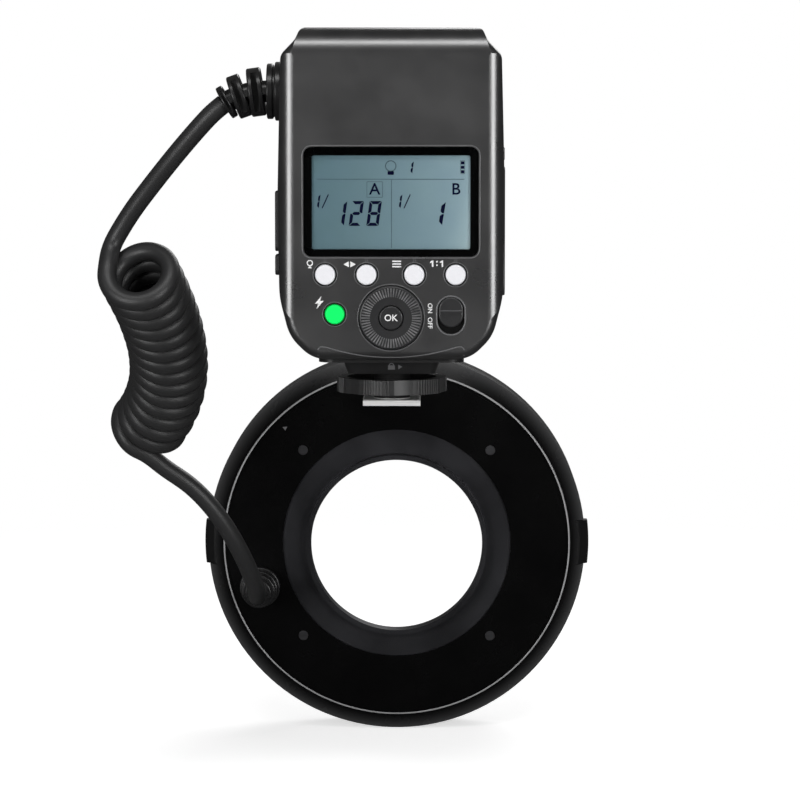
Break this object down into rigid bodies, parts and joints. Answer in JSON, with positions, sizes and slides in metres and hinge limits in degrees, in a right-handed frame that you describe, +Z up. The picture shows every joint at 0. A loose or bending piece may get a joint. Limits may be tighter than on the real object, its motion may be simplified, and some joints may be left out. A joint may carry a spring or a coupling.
{
  "type": "macro ring flash",
  "caption": "Camera macro ring flash: a hot-shoe control unit with display, keys and dial, joined by a curly cord to a ring-shaped flash head that clips round a lens.",
  "frame": {"origin": "centre of the hot-shoe foot's underside width, on its underside, where it rests in the shoe", "axes": "+Y forward along the lens axis, from the display to the subject; +Z up; +X to the right seen from behind"},
  "size_m": [0.1715, 0.2067, 0.2586],
  "materials": {
    "satin_black": "satin black moulded plastic",
    "gloss_black": "polished black moulded plastic",
    "clear_window": "clear acrylic",
    "window_print": "black print behind the window",
    "display": "blue-grey segment display",
    "light_guide": "white light guide",
    "white_key": "white moulded key",
    "green_key": "green moulded key",
    "circuit_board": "green solder resist",
    "black_component": "black component bodies",
    "capacitor_sleeve": "shrunk plastic sleeve",
    "battery_skin": "plain dark plastic",
    "contact_gold": "plated spring contacts",
    "foot_steel": "brushed stainless steel",
    "black_screw": "blackened steel",
    "black_rubber": "black soft rubber",
    "cord_jacket": "semi-gloss black cord jacket",
    "diffuser": "ribbed translucent diffuser",
    "reflector": "polished reflector sheet",
    "tube_glass": "clear quartz glass",
    "lamp": "pale lamp body",
    "lamp_lens": "clear lens",
    "spring_steel": "drawn spring steel",
    "yoke_steel": "stamped sheet steel",
    "black_anodised": "black anodised aluminium"
  },
  "bodies": {
    "control_unit": {"rear_cover": "satin_black", "front_case": "satin_black", "display_window": "clear_window", "window_mask": "window_print", "lcd_panel": "display", "lcd_backlight": "light_guide", "main_board": "circuit_board", "button_board": "circuit_board", "board_switches": "black_component", "dial_encoder": "black_component", "side_sockets": "black_component", "main_capacitor": "capacitor_sleeve", "hv_transformer": "black_component", "battery_bay": "satin_black", "battery_contacts": "contact_gold", "base_plate": "satin_black", "case_screws": "black_screw", "shoe_neck": "satin_black", "foot_plate": "foot_steel", "foot_contacts": "contact_gold", "cable_gland": "satin_black", "strain_relief_upper": "black_rubber", "cord_upper": "cord_jacket", "cord_coil": "cord_jacket"},
    "function_key_1": {"function_button_1": "white_key"},
    "function_key_2": {"function_button_2": "white_key"},
    "function_key_3": {"function_button_3": "white_key"},
    "function_key_4": {"function_button_4": "white_key"},
    "test_key": {"test_button": "green_key"},
    "set_key": {"set_button": "gloss_black"},
    "dial": {"select_dial": "gloss_black"},
    "switch": {"power_switch": "gloss_black"},
    "battery": {"battery_pack": "battery_skin"},
    "battery_key": {"battery_release": "satin_black"},
    "wheel": {"lock_wheel": "gloss_black"},
    "pin": {"lock_pin": "foot_steel"},
    "flap_upper": {"port_cover_upper": "black_rubber"},
    "flap_lower": {"port_cover_lower": "black_rubber"},
    "ring_head": {"ring_rear_cover": "satin_black", "ring_front_shell": "gloss_black", "window_left": "diffuser", "window_right": "diffuser", "reflector_left": "reflector", "reflector_right": "reflector", "flash_tube_left": "tube_glass", "flash_tube_right": "tube_glass", "trigger_board": "circuit_board", "modelling_lamps": "lamp", "lamp_lenses": "lamp_lens", "ring_screws": "black_screw", "release_spring_left": "spring_steel", "release_spring_right": "spring_steel", "strain_relief_lower": "black_rubber", "cord_lower": "cord_jacket"},
    "adapter": {"adapter_ring": "black_anodised"},
    "release_left": {"release_yoke_left": "yoke_steel", "release_button_left": "satin_black"},
    "release_right": {"release_yoke_right": "yoke_steel", "release_button_right": "satin_black"}
  },
  "joints": [
    {"name": "function_key_1_press", "type": "slide", "parent": "control_unit", "child": "function_key_1", "axis": [0, 1, 0], "range_m": [0, 0.0005], "stiffness_N_per_m": 400},
    {"name": "function_key_2_press", "type": "slide", "parent": "control_unit", "child": "function_key_2", "axis": [0, 1, 0], "range_m": [0, 0.0005], "stiffness_N_per_m": 400},
    {"name": "function_key_3_press", "type": "slide", "parent": "control_unit", "child": "function_key_3", "axis": [0, 1, 0], "range_m": [0, 0.0005], "stiffness_N_per_m": 400},
    {"name": "function_key_4_press", "type": "slide", "parent": "control_unit", "child": "function_key_4", "axis": [0, 1, 0], "range_m": [0, 0.0005], "stiffness_N_per_m": 400},
    {"name": "test_key_press", "type": "slide", "parent": "control_unit", "child": "test_key", "axis": [0, 1, 0], "range_m": [0, 0.0005], "stiffness_N_per_m": 400},
    {"name": "set_key_press", "type": "slide", "parent": "control_unit", "child": "set_key", "axis": [0, 1, 0], "range_m": [0, 0.0005], "stiffness_N_per_m": 400},
    {"name": "dial_turn", "type": "hinge", "parent": "control_unit", "child": "dial", "pos_m": [0, -0.0255, 0.0297], "axis": [0, -1, 0], "continuous": true},
    {"name": "switch_slide", "type": "slide", "parent": "control_unit", "child": "switch", "axis": [0, 0, -1], "range_m": [0, 0.0018]},
    {"name": "battery_slide", "type": "slide", "parent": "control_unit", "child": "battery", "axis": [1, 0, 0], "range_m": [0, 0.062]},
    {"name": "battery_key_press", "type": "slide", "parent": "control_unit", "child": "battery_key", "axis": [-1, 0, 0], "range_m": [0, 0.0015], "stiffness_N_per_m": 400},
    {"name": "wheel_turn", "type": "hinge", "parent": "control_unit", "child": "wheel", "pos_m": [0, 0, 0.0065], "axis": [0, 0, 1], "range_deg": [0, 270]},
    {"name": "pin_drop", "type": "slide", "parent": "control_unit", "child": "pin", "axis": [0, 0, -1], "range_m": [0, 0.0012]},
    {"name": "flap_upper_swing", "type": "hinge", "parent": "control_unit", "child": "flap_upper", "pos_m": [-0.03705, -0.0052, 0.0505], "axis": [0, -1, 0], "range_deg": [0, 95]},
    {"name": "flap_lower_swing", "type": "hinge", "parent": "control_unit", "child": "flap_lower", "pos_m": [-0.03705, -0.0052, 0.0428], "axis": [0, -1, 0], "range_deg": [0, 95]},
    {"name": "ring_slide", "type": "slide", "parent": "control_unit", "child": "ring_head", "axis": [0, 1, 0], "range_m": [-0.02, 0.04], "stiffness_N_per_m": 40, "deforming": ["cord_coil"]},
    {"name": "adapter_turn", "type": "hinge", "parent": "ring_head", "child": "adapter", "pos_m": [0, 0.15, -0.0668], "axis": [0, 1, 0], "continuous": true},
    {"name": "release_left_press", "type": "slide", "parent": "ring_head", "child": "release_left", "axis": [1, 0, 0], "range_m": [0, 0.002], "stiffness_N_per_m": 800, "deforming": ["release_spring_left"]},
    {"name": "release_right_press", "type": "slide", "parent": "ring_head", "child": "release_right", "axis": [-1, 0, 0], "range_m": [0, 0.002], "stiffness_N_per_m": 800, "deforming": ["release_spring_right"]}
  ],
  "couplings": [
    {"joint": "pin_drop", "follows": "wheel_turn", "m_per_rad": 0.0002546}
  ]
}
